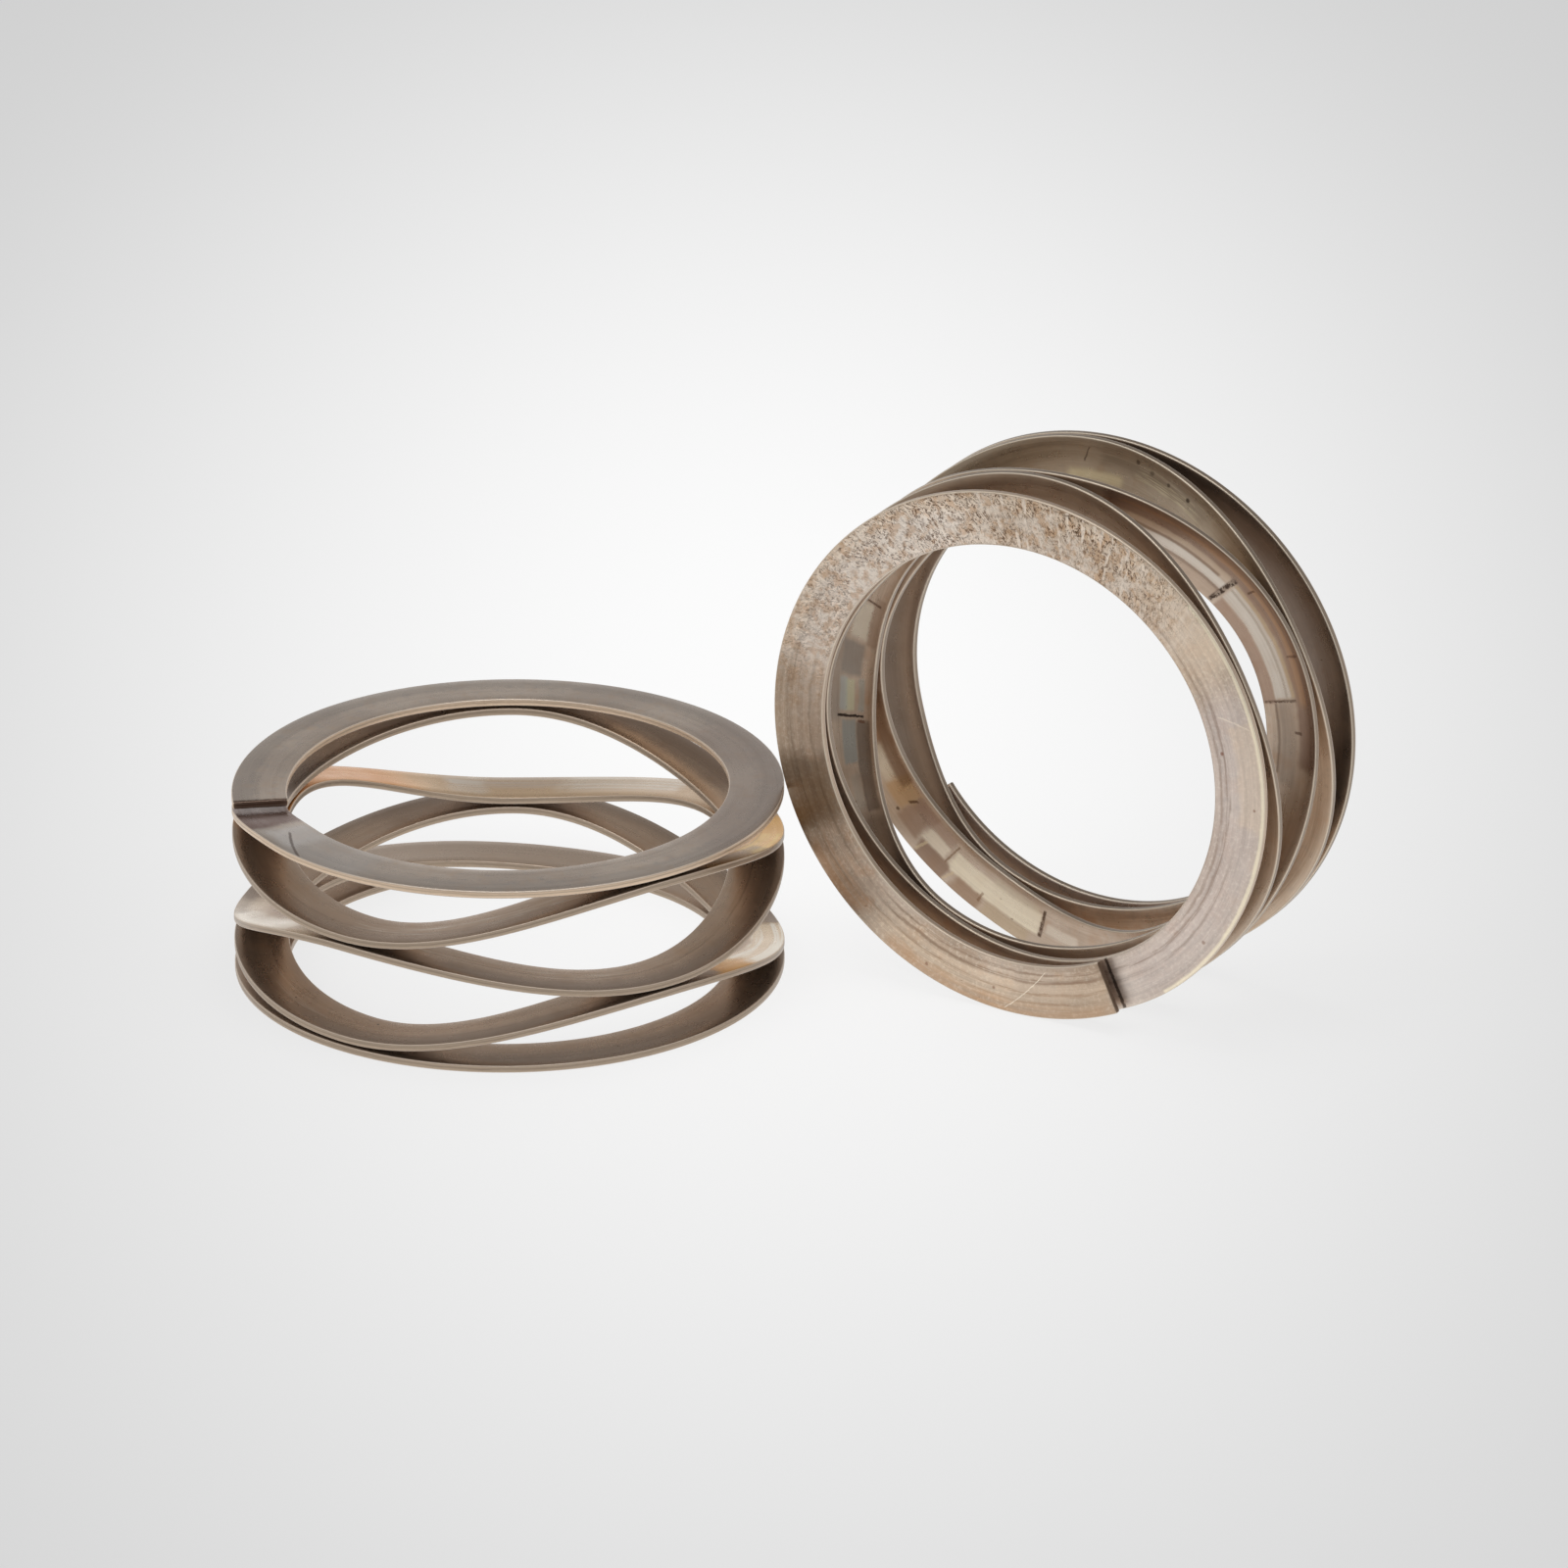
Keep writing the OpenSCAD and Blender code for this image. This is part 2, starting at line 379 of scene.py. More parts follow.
tanCoil = {
    "seed": 41.0,
    "tones": ("bea792", "d3c0ae"),
    "warm": "b98e68",
    "cool": "a49a8e",
    "rimTint": "b7a48f",
    "edge": "bda995",
    "corner": "ebe0cd",
    "innerEdge": 0.5,
    "cutEnd": "6f5a4a",
    "spots": "5a3d2a",
    "roughness": (0.4, 0.3),
    "grainy": (1.5, 0.6),
    "brushed": (0.15, 0.12),
    "relief": 0.3,
    "mottled": 0.34,
    "pitted": 0.55,
    "metal": 0.9,
    "speckled": {
        "arc": (104, 252),
        "rise": 35,                   # arc over which they come in
        "fade": (20, 12),             # arc before and after their end over which they go out
        "sparse": 0.35,               # share of the threads that is left between the crowds
        "darkerArc": (130, 180),      # where the threads grow darker
        "darkShare": (0.55, 0.95),
        "pale": "efe5da",
        "rust": "bd8f5e",
        "brown": "94704c",
        "dark": "5e422c",
    },
    "strokes": {"arc": (150, 244), "soft": 20, "tint": "f0e4d6", "share": 0.65},
    "grooves": (
        {"arc": (-2, 70), "across": 2.2, "width": 0.12, "share": 0.5, "tint": "8c6b4e"},
        {"arc": (-2, 64), "across": 1.25, "width": 0.16, "share": 0.6, "tint": "7d5f47"},
        {"arc": (-2, 66), "across": 0.65, "width": 0.1, "share": 0.5, "tint": "7d5f47"},
        {"arc": (8, 50), "across": 2.9, "width": 0.1, "share": 0.4, "tint": "94704f"},
        {"arc": (310, 362), "across": 1.9, "width": 0.12, "share": 0.4, "tint": "86705f"},
        {"arc": (262, 362), "across": 1.1, "width": 0.16, "share": 0.5, "tint": "7e6350"},
        {"arc": (240, 335), "across": 0.6, "width": 0.12, "share": 0.45, "tint": "7e6350"},
        {"arc": (66, 128), "across": 1.0, "width": 0.12, "share": 0.4, "tint": "65513f"},
        {"arc": (66, 140), "across": 2.6, "width": 0.1, "share": 0.3, "tint": "65513f"},
    ),
    # stains and rubbed places; some are painted shade, highlights and reflections, as noted
    "stainsAndPaintedLight": (
        wearAndPaintedLight((-5, 62), (1.2, 3.2), "e2cdb4", 0.5, soft=0.8, streaky=0.3),
        wearAndPaintedLight((2, 58), (3.0, 4.8), "b98c62", 0.45, soft=0.5, streaky=0.5),
        wearAndPaintedLight((66, 84), (2.2, 4.8), "a97646", 0.45, soft=0.6, streaky=0.7),
        wearAndPaintedLight((86, 104), (-0.4, 4.8), "75614b", 0.6, soft=0.6),
        wearAndPaintedLight((92, 102), (0.2, 3.0), "9b8871", 0.4, soft=0.4, streaky=0.9),
        wearAndPaintedLight((-5, 24), (-0.4, 4.8), "a8927e", 0.35, soft=1.4),
        wearAndPaintedLight((104, 124), (-0.4, 4.4), "9c8670", 0.3, soft=0.8),
        wearAndPaintedLight((128, 196), (-0.4, 4.4), "f6ebdf", 0.8, soft=1.4),
        wearAndPaintedLight((128, 262), (2.9, 4.8), "efdac1", 0.5, soft=0.6),
        wearAndPaintedLight((190, 262), (-0.4, 4.4), "e0ceb9", 0.5, soft=1.6),
        wearAndPaintedLight((268, 366), (-0.4, 4.4), "ccc2c0", 0.5, soft=1.6),
        wearAndPaintedLight((276, 300), (2.0, 4.4), "d9c4ac", 0.4),
        # painted highlight along the rim corner of the end turn
        wearAndPaintedLight((248, 348), (3.72, 4.6), "f8ecd0", 0.75, soft=0.1, ragged=0.15),
        # painted light that lifts the shade beside the lower cut end
        wearAndPaintedLight((353, 364), (-0.4, 4.6), "e6dacd", 0.3, soft=0.8),
        # painted shade: the turns behind the end turn made darker
        wearAndPaintedLight((420, 1200), (-0.4, 4.4), "9a8675", 0.45, soft=2.0),
        # painted shade on the far turns
        wearAndPaintedLight((1490, 1610), (-0.4, 4.4), "84786e", 0.8, soft=2.0),
        wearAndPaintedLight((1500, 1610), (-0.4, 1.2), "c4b2a4", 0.35, soft=0.6),
        # painted shade on the far turns
        wearAndPaintedLight((1640, 1750), (-0.4, 4.4), "584b44", 0.8, soft=1.6),
        wearAndPaintedLight((1800, 1890), (-0.4, 1.6), "dccfc6", 0.8, soft=0.4),
        wearAndPaintedLight((1232, 1350), (-0.4, 4.4), "8a7d68", 0.6, soft=2.0),
        # painted shade and painted reflections on the turns seen behind the end turn, with the stripes
        # that follow
        wearAndPaintedLight((776, 803), (-0.4, 4.4), "4f453d", 0.6, soft=0.9),
        wearAndPaintedLight((803, 824), (0.3, 1.45), "5d5046", 0.65, soft=0.14, ragged=0.3),
        wearAndPaintedLight((804, 812), (1.5, 2.3), "a0978a", 0.5, soft=0.16, ragged=0.3),
        wearAndPaintedLight((814.5, 824.4), (1.5, 2.65), "8f908a", 0.75, soft=0.11, ragged=0.15),
        wearAndPaintedLight((824, 858), (2.75, 4.4), "8a7f76", 0.5, soft=0.3, ragged=0.4),
        wearAndPaintedLight((826.4, 833.5), (1.6, 2.35), "c0bb9c", 0.7, soft=0.12, ragged=0.15),
        wearAndPaintedLight((826.4, 834), (2.2, 2.8), "a3a8a4", 0.6, soft=0.14, ragged=0.2),
        wearAndPaintedLight((826, 834), (0.75, 1.25), "9aa09a", 0.5, soft=0.12, ragged=0.2),
        wearAndPaintedLight((834.5, 843), (1.1, 2.8), "7e7973", 0.65, soft=0.2, ragged=0.3),
        wearAndPaintedLight((844, 854), (1.0, 2.3), "cfc5b3", 0.75, soft=0.18, ragged=0.3),
        wearAndPaintedLight((843, 857), (0.2, 1.0), "8e7664", 0.5, soft=0.15, ragged=0.3),
        # more stripes of painted reflection and shade between the turns behind
        wearAndPaintedLight((936, 1014), (2.7, 4.6), "7b6153", 0.7, soft=0.3, ragged=0.6),
        wearAndPaintedLight((940, 1000), (3.0, 3.9), "b08a68", 0.5, soft=0.3, streaky=0.9),
        wearAndPaintedLight((942, 968), (2.4, 2.8), "b9a48e", 0.6, soft=0.1, ragged=0.2),
        wearAndPaintedLight((942, 966), (2.08, 2.36), "755d4b", 0.65, soft=0.08, ragged=0.2),
        wearAndPaintedLight((944, 968.4), (1.42, 2.12), "d3cbc0", 0.7, soft=0.1, ragged=0.2, streaky=0.25),
        wearAndPaintedLight((946, 968.4), (1.15, 1.42), "7b6556", 0.6, soft=0.08, ragged=0.15),
        wearAndPaintedLight((946, 968.4), (0.0, 1.18), "a8917e", 0.5, soft=0.15, ragged=0.3),
        wearAndPaintedLight((970, 998), (1.1, 2.42), "cdc5ba", 0.7, soft=0.12, ragged=0.2, streaky=0.25),
        wearAndPaintedLight((970, 998), (1.95, 2.15), "9b8d7e", 0.5, soft=0.07, ragged=0.2),
        wearAndPaintedLight((970, 998), (2.42, 2.72), "b39b7c", 0.6, soft=0.1, ragged=0.2),
        wearAndPaintedLight((970, 999), (-0.4, 1.05), "987c6b", 0.65, soft=0.14, ragged=0.3),
        wearAndPaintedLight((999, 1018), (1.2, 2.4), "8b7c6f", 0.6, soft=0.25, ragged=0.4, streaky=0.4),
        wearAndPaintedLight((999, 1016), (0.95, 1.15), "5d4a3b", 0.6, soft=0.1, ragged=0.2),
        wearAndPaintedLight((1104, 1114), (1.5, 2.3), "cdbfae", 0.7, soft=0.16, ragged=0.4),
        wearAndPaintedLight((1116, 1142.5), (1.1, 2.75), "e3d6bd", 0.75, soft=0.18, ragged=0.4, streaky=0.15),
        wearAndPaintedLight((1117, 1131), (0.6, 1.2), "c2b49c", 0.5, soft=0.18, ragged=0.4),
        wearAndPaintedLight((1144, 1151), (1.4, 2.5), "d9cbb6", 0.7, soft=0.16, ragged=0.4),
        wearAndPaintedLight((1118, 1131), (2.8, 4.6), "b09a7b", 0.5, soft=0.25, ragged=0.6),
        wearAndPaintedLight((1132, 1139.5), (2.7, 4.6), "8f7057", 0.65, soft=0.2, ragged=0.5),
        wearAndPaintedLight((1141.5, 1150), (2.5, 4.6), "7f624e", 0.7, soft=0.2, ragged=0.5),
        wearAndPaintedLight((1151.5, 1159), (0.4, 3.2), "937560", 0.65, soft=0.2, ragged=0.6),
        wearAndPaintedLight((1159, 1166), (0.3, 2.6), "b8966c", 0.65, soft=0.25, ragged=0.6),
        wearAndPaintedLight((1166, 1176), (1.3, 2.4), "cdbfa8", 0.65, soft=0.25, ragged=0.5),
        wearAndPaintedLight((1163, 1190), (0.2, 1.35), "74573f", 0.7, soft=0.25, ragged=0.6),
        wearAndPaintedLight((1176, 1196), (1.2, 3.6), "a07a5c", 0.6, soft=0.3, ragged=0.6),
        wearAndPaintedLight((1144, 1158), (0.4, 1.3), "9a7d6c", 0.5, soft=0.25, ragged=0.5),
        wearAndPaintedLight((1275, 1290), (0.8, 1.6), "cfc09a", 0.6, soft=0.3, ragged=0.5),
        wearAndPaintedLight((1284, 1314), (2.2, 4.4), "6b5c4c", 0.5, soft=0.5, streaky=0.6),
    ),
    "streaks": (
        wearAndPaintedLight((1294, 1314), (1.5, 3.6), "c9bd9c", 0.6),
        wearAndPaintedLight((1330, 1440), (1.2, 3.4), "d6c6b2", 0.3),
    ),
    # scratches and fine lines; those at the cut end and between the turns behind are painted shadow and
    # reflection
    "scoresAndPaintedLines": (
        {"arc": (16, 27), "across": (0.45, 3.7), "width": 0.07, "tint": "efe2cf", "share": 0.8},
        # dark line at the lower cut end: its cut face, with painted contact shadow
        {"arc": (359.3, 359.4), "across": (-0.1, 4.1), "width": 0.2, "tint": "3b2b22", "share": 0.85},
        {"arc": (273, 277), "across": (1.4, 3.6), "width": 0.08, "tint": "e6d8c6", "share": 0.6},
        {"arc": (146, 148), "across": (2.4, 3.8), "width": 0.08, "tint": "e9dccb", "share": 0.5},
        # painted dark lines among the reflected stripes between the turns behind
        {"arc": (825.1, 825.3), "across": (0.8, 3.0), "width": 0.14, "tint": "2a1f19", "share": 0.95},
        {"arc": (816, 825), "across": (2.9, 2.95), "width": 1.2, "tint": "5f4939", "share": 0.7},
        {"arc": (823.8, 824), "across": (0.7, 1.3), "width": 0.16, "tint": "6a4a36", "share": 0.8},
        {"arc": (854.8, 855), "across": (0.5, 1.7), "width": 0.14, "tint": "5d4637", "share": 0.8},
        {"arc": (968.4, 969.2), "across": (0.2, 2.9), "width": 0.3, "tint": "3a2b22", "share": 0.95,
         "broken": 0.6},
        {"arc": (998.5, 998.9), "across": (0.2, 2.75), "width": 0.14, "tint": "4c382c", "share": 0.8,
         "broken": 0.4},
        {"arc": (1003, 1006.6), "across": (2.86, 2.82), "width": 0.6, "tint": "553c2e", "share": 0.7},
        {"arc": (1006, 1006.2), "across": (2.35, 2.9), "width": 0.14, "tint": "4f382c", "share": 0.7},
        {"arc": (973, 973.3), "across": (2.9, 3.5), "width": 0.12, "tint": "553c2e", "share": 0.7},
        {"arc": (989, 989.4), "across": (3.0, 3.8), "width": 0.12, "tint": "5f4638", "share": 0.6},
        {"arc": (1114.9, 1115.3), "across": (0.6, 2.8), "width": 0.22, "tint": "4a3323", "share": 0.9,
         "broken": 0.3},
        {"arc": (1143.1, 1143.5), "across": (0.7, 2.6), "width": 0.1, "tint": "7a5d43", "share": 0.7},
        {"arc": (1132.2, 1132.4), "across": (2.4, 3.3), "width": 0.12, "tint": "7a5b42", "share": 0.6},
        {"arc": (1140.4, 1141.6), "across": (2.7, 3.8), "width": 0.14, "tint": "c4ae8e", "share": 0.6},
        {"arc": (1149.5, 1150), "across": (2.5, 3.7), "width": 0.16, "tint": "c9b594", "share": 0.6},
        {"arc": (1158.5, 1159.5), "across": (0.9, 1.6), "width": 0.2, "tint": "573b26", "share": 0.8},
        {"arc": (1279.5, 1281), "across": (2.2, 3.3), "width": 0.1, "tint": "4f4033", "share": 0.6},
    ),
    "dots": (
        {"arc": 30, "across": 2.4, "radius": 0.16, "tint": "7a4a32", "share": 0.6},
        {"arc": 47, "across": 3.1, "radius": 0.18, "tint": "7a4a32", "share": 0.6},
        {"arc": 295, "across": 3.2, "radius": 0.14, "tint": "7a4a32", "share": 0.6},
        {"arc": 282, "across": 0.95, "radius": 0.2, "tint": "7c4a35", "share": 0.7},
        {"arc": 331, "across": 2.9, "radius": 0.22, "tint": "7c5238", "share": 0.5},
        {"arc": 1159.4, "across": 2.75, "radius": 0.2, "tint": "4d3522", "share": 0.8},
        {"arc": 1293.6, "across": 3.3, "radius": 0.24, "tint": "453a2f", "share": 0.7},
        {"arc": 1297.6, "across": 3.0, "radius": 0.26, "tint": "4f4336", "share": 0.6},
        {"arc": 1302.4, "across": 2.9, "radius": 0.2, "tint": "453a2f", "share": 0.7},
        {"arc": 1308.2, "across": 2.9, "radius": 0.24, "tint": "33261d", "share": 0.85},
    ),
}


# noises of the finish: the place they are read at, scale, detail, roughness and warp
noises = {
    "broad": ("plain", 0.14, 3, 0.55, 0.0),
    "cloud": ("plain", 0.55, 4, 0.6, 0.0),
    "blotch": ("plain", 1.4, 4, 0.6, 0.0),
    "spatter": ("plain", 2.3, 3, 0.6, 0.0),
    "fine": ("plain", 3.2, 5, 0.7, 0.4),
    "grain": ("plain", 11, 3, 0.55, 0.0),
    "drawn": ("drawnOut", 1.6, 4, 0.55, 0.0),
    "hairline": ("drawnOut", 6.5, 3, 0.55, 0.0),
    "worm": ("slanted", 2.2, 4, 0.62, 0.8),
    "crossed": ("crossing", 1.1, 3, 0.6, 0.0),
    "rimLines": ("rim", 1.0, 3, 0.55, 0.0),
}
faceGap = 9               # keeps the noises of the upper and the lower face apart
endTurnArc = (420, 340)   # where the flat end turn goes over into the turns behind it

# levels between which each part of the finish comes in, read from its noise unless noted
levels = {
    "tones": (0.35, 0.65),
    "warm": (0.5, 0.72),
    "cool": (0.52, 0.68),
    "rimTint": (2.6, 3.6),       # millimetres from the bore
    "hairs": (0.5, 0.62),
    "mottles": (0.5, 0.62),
    "darkLines": (0.5, 0.38),
    "lightLines": (0.4, 0.6),
    "streaks": (0.42, 0.58),
    "grooves": (0.36, 0.56),
    "breaks": (0.48, 0.56),
    "crowd": (0.4, 0.64),
    "threads": (0.06, 0.02),     # distance from the middle of the noise
    "threadGaps": (0.42, 0.52),
    "rust": (0.47, 0.62),
    "brown": (0.52, 0.6),
    "strokes": (0.57, 0.63),
    "strokeGaps": (0.38, 0.5),
    "pits": (0.7, 0.76),
    "seam": (0.09, 0.02),        # millimetres from it
    "upper": (0.2, 0.8),         # how much a point faces up or to the front
    "rim": (0.75, 0.1),          # how much it faces up or down, for this and the next two
    "cornerOut": (0.15, 0.6),
    "cornerIn": (0.98, 0.7),
    "cut": (1, 3),               # degrees of arc past the wire's end
}
shares = {
    "warm": 0.45,
    "cool": 0.3,
    "rimTint": 0.4,
    "pale": 0.4,
    "rust": 0.45,
    "brown": 0.3,
    "seam": 0.3,
    "rim": 0.85,
    "corner": 0.7,
    "cutEnd": 0.9,
}

# how much each noise lightens and darkens the tone, roughens the face and raises it
toneWeights = {"drawn": 0.22, "hairline": 0.14, "crossed": 0.05, "grain": 0.1, "cloud": 0.2, "fine": 0.12}
roughWeights = {"cloud": 0.2, "drawn": 0.15}
reliefWeights = {"drawn": 0.5, "hairline": 0.3, "fine": 0.35, "grain": 0.06}
rougher = {"pits": 0.3, "threads": 0.15, "corner": 0.2, "rim": 0.1}
cornerDulls = 0.45        # how much less metallic the corners are, where a highlight is painted
reliefDepth = 0.00003
rimTones = {"plain": 0.5, "rimLines": 0.86, "fine": 0.2}
seamLift, seamSway = 0.03, 0.2         # millimetres
rimTintSway = 1.6                      # millimetres by which blotches push the rim's tint inwards
crowdSlope = 0.03                      # how much thicker the speckles are, for a millimetre outwards

# how marks waver and where they fade, across in millimetres and along in degrees of arc
swayAlong, softAlong = 8, 4            # degrees for a millimetre across
grooveFades = {"sway": 0.5, "edge": (1.6, 0.3), "ends": 8}         # edge in shares of the width
lineFades = {"sway": 1.0, "edge": (1.0, 0.4), "ends": 0.08}
dotFades = {"sway": 0.15, "edge": (1.0, 0.4)}


def wireFace(start, seed):
    # where a point lies on the wire, and the noises there
    place = start.node("ShaderNodeAttribute", {"attribute_name": "wirePos"}, output="Vector")
    arc, across, side = place.part("X"), place.part("Y"), place.part("Z")
    lift = start.node("ShaderNodeAttribute", {"attribute_name": "wireLift"}, output="Fac")
    length, layer = arc * degreeLength + seed, side * faceGap

    def spot(along, over, deep):
        return start.node("ShaderNodeCombineXYZ", None, {0: along, 1: over, 2: deep})

    # drawn out or pressed together, so that a noise runs along the wire or across it
    places = {
        "plain": spot(length, across, layer + lift),
        "drawnOut": spot(length * 0.05, across * 1.6 + lift * 6, layer),
        "slanted": spot(length * 1.5 + across * 0.9, across * 0.8, layer),
        "crossing": spot(length * 2.4 + across * 0.5, across * 0.35, layer),
        "rim": spot(length * 0.12, lift * 9, across * 0.5),
    }
    facing, upper = abs(side), side.between(*levels["upper"])
    return SimpleNamespace(
        arc=arc, across=across, lift=lift, upper=upper,
        rim=facing.between(*levels["rim"]),
        corner=facing.between(*levels["cornerOut"]) * facing.between(*levels["cornerIn"]),
        endTurn=arc.between(*endTurnArc) * upper,
        **{name: start.node("ShaderNodeTexNoise", None, {
            "Vector": places[where], "Scale": scale, "Detail": detail,
            "Roughness": roughness, "Distortion": warp,
        }) for name, (where, scale, detail, roughness, warp) in noises.items()})


def byTurn(face, pair):
    # the first of two values on the end turn, the second behind it
    endTurn, behind = pair
    return face.endTurn.span(behind, endTurn)


def band(value, low, high, soft):
    # 1 from low to high, with soft ends
    return value.between(low - soft, low + soft) * value.between(high + soft, high - soft)


def swing(face, noise, reach):
    # a noise as a push to and fro, by half the reach at most
    return (getattr(face, noise) - 0.5) * reach


def wearAndLightPlace(face, mark):
    # a patch with ragged edges
    sway = swing(face, "cloud", mark["ragged"])
    onArc = band(face.arc + sway * swayAlong, *mark["arc"], mark["soft"] * softAlong)
    return onArc * band(face.across + sway, *mark["across"], mark["soft"]) * face.upper


def patina(face, look):
    base = face.broad.between(*levels["tones"]).mix(*(paint(tone) for tone in look["tones"]))
    base = (face.cloud.between(*levels["warm"]) * shares["warm"]).tint(base, look["warm"])
    base = (face.blotch.between(*levels["cool"]) * shares["cool"]).tint(base, look["cool"])
    nearRim = (face.across + face.blotch * rimTintSway).between(*levels["rimTint"])
    base = (nearRim * shares["rimTint"]).tint(base, look["rimTint"])
    brushed = byTurn(face, look["brushed"])
    base = (face.hairline.between(*levels["hairs"]) * brushed).tint(base, look["corner"])
    base = (face.drawn.between(*levels["darkLines"]) * brushed).tint(base, look["cutEnd"])
    mottles = face.endTurn * face.fine.between(*levels["mottles"])
    return (mottles * look["mottled"]).tint(base, look["corner"])


def stainsLightAndStreaks(face, look, base):
    for toneMark in look["stainsAndPaintedLight"]:
        streaks = face.drawn.between(*levels["streaks"]).span(1 - toneMark["streaky"], 1)
        base = (wearAndLightPlace(face, toneMark) * streaks * toneMark["share"]).tint(base, toneMark["tint"])
    for streak in look["streaks"]:
        lines = face.hairline.between(*levels["hairs"]) * face.drawn.between(*levels["lightLines"])
        base = (wearAndLightPlace(face, streak) * lines * streak["share"]).tint(base, streak["tint"])
    return base


def softEdged(distance, halfWidth, edge):
    return distance.between(halfWidth * edge[0], halfWidth * edge[1])


def grooveMask(face, mark):
    # runs along the wire
    off = abs(face.across + swing(face, "cloud", grooveFades["sway"]) - mark["across"])
    along = band(face.arc, *mark["arc"], grooveFades["ends"]) * face.hairline.between(*levels["grooves"])
    return softEdged(off, mark["width"], grooveFades["edge"]) * along * face.upper


def lineMask(face, mark):
    # a line from one place to another, mostly across the wire
    (low, high), (left, right) = mark["arc"], mark["across"]
    run = (face.across - left) / (right - left)
    off = abs(face.arc - run.span(low, high) + swing(face, "fine", lineFades["sway"])) * degreeLength
    over = band(face.across, min(left, right), max(left, right), lineFades["ends"])
    mask = softEdged(off, mark["width"], lineFades["edge"]) * over * face.upper
    if "broken" in mark:
        mask = mask * (1 - face.fine.between(*levels["breaks"]) * mark["broken"])
    return mask


def dotMask(face, mark):
    east, north = (face.arc - mark["arc"]) * degreeLength, face.across - mark["across"]
    away = (east * east + north * north).root() + swing(face, "fine", dotFades["sway"])
    return softEdged(away, mark["radius"], dotFades["edge"]) * face.upper


def scratchesAndPaintedLines(face, look, base):
    for kind, mask in (("grooves", grooveMask), ("scoresAndPaintedLines", lineMask), ("dots", dotMask)):
        for mark in look[kind]:
            base = (mask(face, mark) * mark["share"]).tint(base, mark["tint"])
    return base


def speckles(face, look, base):
    # pale ground with rust and dark threads; the threads are given back too, for their roughness
    (low, high), (before, after) = look["arc"], look["fade"]
    zone = face.arc.between(low, low + look["rise"]) * face.arc.between(high + after, high - before)
    zone = zone * face.upper
    crowd = (face.cloud + face.across * crowdSlope).between(*levels["crowd"])
    threads = abs(face.worm - 0.5).between(*levels["threads"]) * face.fine.between(*levels["threadGaps"])
    threads = zone * threads * crowd.span(look["sparse"], 1)
    base = (zone * (1 - crowd) * shares["pale"]).tint(base, look["pale"])
    base = (zone * face.blotch.between(*levels["rust"]) * shares["rust"]).tint(base, look["rust"])
    base = (zone * crowd * face.worm.between(*levels["brown"]) * shares["brown"]).tint(base, look["brown"])
    darker = face.arc.between(*look["darkerArc"]).span(*look["darkShare"])
    return (threads * darker).tint(base, look["dark"]), threads


def paleStrokes(face, look, base):
    zone = band(face.arc, *look["arc"], look["soft"]) * face.upper
    lines = face.crossed.between(*levels["strokes"]) * face.blotch.between(*levels["strokeGaps"])
    return (zone * lines * look["share"]).tint(base, look["tint"])


def lightAndDark(face, pair, base):
    shade = sum(swing(face, noise, weight) for noise, weight in toneWeights.items())
    return (shade * byTurn(face, pair) + 1).times(base)


def rimsAndEnds(face, look, base):
    inner = face.arc.between(*reversed(endTurnArc)) * (1 - look["innerEdge"])
    offSeam = abs(face.lift + swing(face, "cloud", seamSway) - seamLift)
    seam = offSeam.between(*levels["seam"]) * shares["seam"]
    rimTone = rimTones["plain"] + face.rimLines * rimTones["rimLines"] + face.fine * rimTones["fine"]
    rimTone = (rimTone * (1 - inner) * (1 - seam)).times(paint(look["edge"])[:3])
    base = (face.rim * shares["rim"]).mix(base, rimTone)
    # painted highlight along the wire's rounded corners
    base = (face.corner * shares["corner"]).tint(base, look["corner"])
    near, far = levels["cut"]
    cut = face.arc.between(-near, -far) + face.arc.between(wireArc + near, wireArc + far)
    return (cut * shares["cutEnd"]).tint(base, look["cutEnd"])


def springSteel(name, look):
    steel = bpy.data.materials.new(name)
    start = emptyTree(steel)
    face = wireFace(start, look["seed"])
    base = stainsLightAndStreaks(face, look, patina(face, look))
    base = scratchesAndPaintedLines(face, look, base)
    pits = face.spatter.between(*levels["pits"])
    matt = pits * rougher["pits"] + face.corner * rougher["corner"]
    if look["speckled"]:
        base, threads = speckles(face, look["speckled"], base)
        matt = matt + threads * rougher["threads"]
    if look["strokes"]:
        base = paleStrokes(face, look["strokes"], base)
    base = (pits * look["pitted"]).tint(base, look["spots"])
    base = rimsAndEnds(face, look, lightAndDark(face, look["grainy"], base))

    rough = byTurn(face, look["roughness"]) + face.rim * rougher["rim"]
    rough = rough + sum(swing(face, noise, weight) for noise, weight in roughWeights.items())
    rough = start.maths("ADD", rough, matt, clamp=True)
    relief = sum(getattr(face, noise) * weight for noise, weight in reliefWeights.items())
    bump = start.node("ShaderNodeBump", None, {
        "Strength": look["relief"], "Distance": reliefDepth, "Height": relief,
    })
    shader = start.node("ShaderNodeBsdfPrincipled", None, {
        "Base Color": base, "Roughness": rough, "Normal": bump,
        "Metallic": look["metal"] - face.corner * cornerDulls,
    })
    start.node("ShaderNodeOutputMaterial", None, {"Surface": shader})
    return steel


# where the springs stand, in millimetres and degrees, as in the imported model
uprightPlace = {
    "turn": 188.5,       # bearing of its upper cut end
}
tippedPlace = {
    "turn": 24.5,        # arc from the ground to its lower cut end
    "bearing": 240,      # in which that end faces
    "sideGap": 0.05,     # between the two rims
    "behind": -3.6,      # how far its centre is behind the upright one's
}


def uprightMatrix():
    return Matrix.Rotation(math.radians(uprightPlace["turn"]), 4, "Z")


